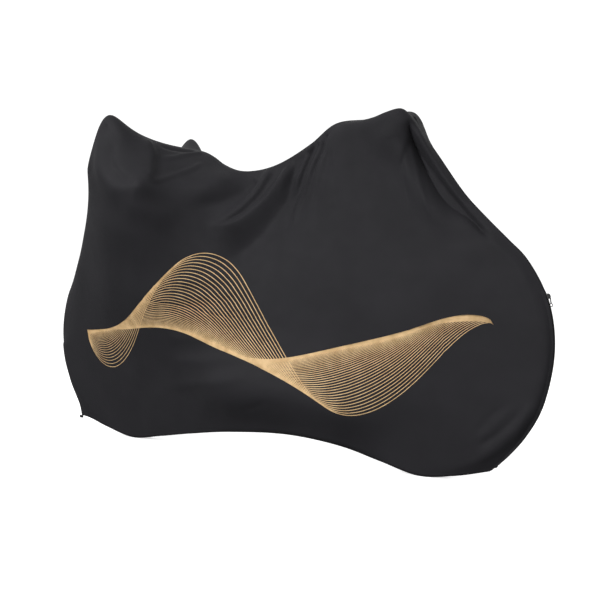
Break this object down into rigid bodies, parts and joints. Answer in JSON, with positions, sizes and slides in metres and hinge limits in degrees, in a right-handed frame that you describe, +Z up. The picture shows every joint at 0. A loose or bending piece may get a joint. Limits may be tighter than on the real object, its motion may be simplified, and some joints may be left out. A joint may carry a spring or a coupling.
{
  "type": "fitted bicycle cover",
  "caption": "Hollow fitted cover of black stretch knit in two side panels, taut over bars, seat and wheels, open below, with a zip up its rear seam.",
  "frame": {"origin": "middle of the cover's length and width, at the height of its lowest point, the hem under the rear wheel", "axes": "+X runs to the rear, towards the zip, +Y to the cover's right side, +Z up; the centre seam lies in the plane y = 0"},
  "size_m": [1.6785, 0.4796, 0.9981],
  "materials": {
    "knit": null,
    "tape": "matt woven tape, black",
    "plastic": "moulded plastic, black, satin"
  },
  "bodies": {
    "root": {"panel_left": "knit", "panel_right": "knit", "zip_tape_left": "tape", "zip_tape_right": "tape", "zip_chain": "plastic", "zip_slider": "plastic", "zip_pull": "plastic", "zip_stop": "plastic", "seam_tail": "tape"}
  },
  "joints": []
}
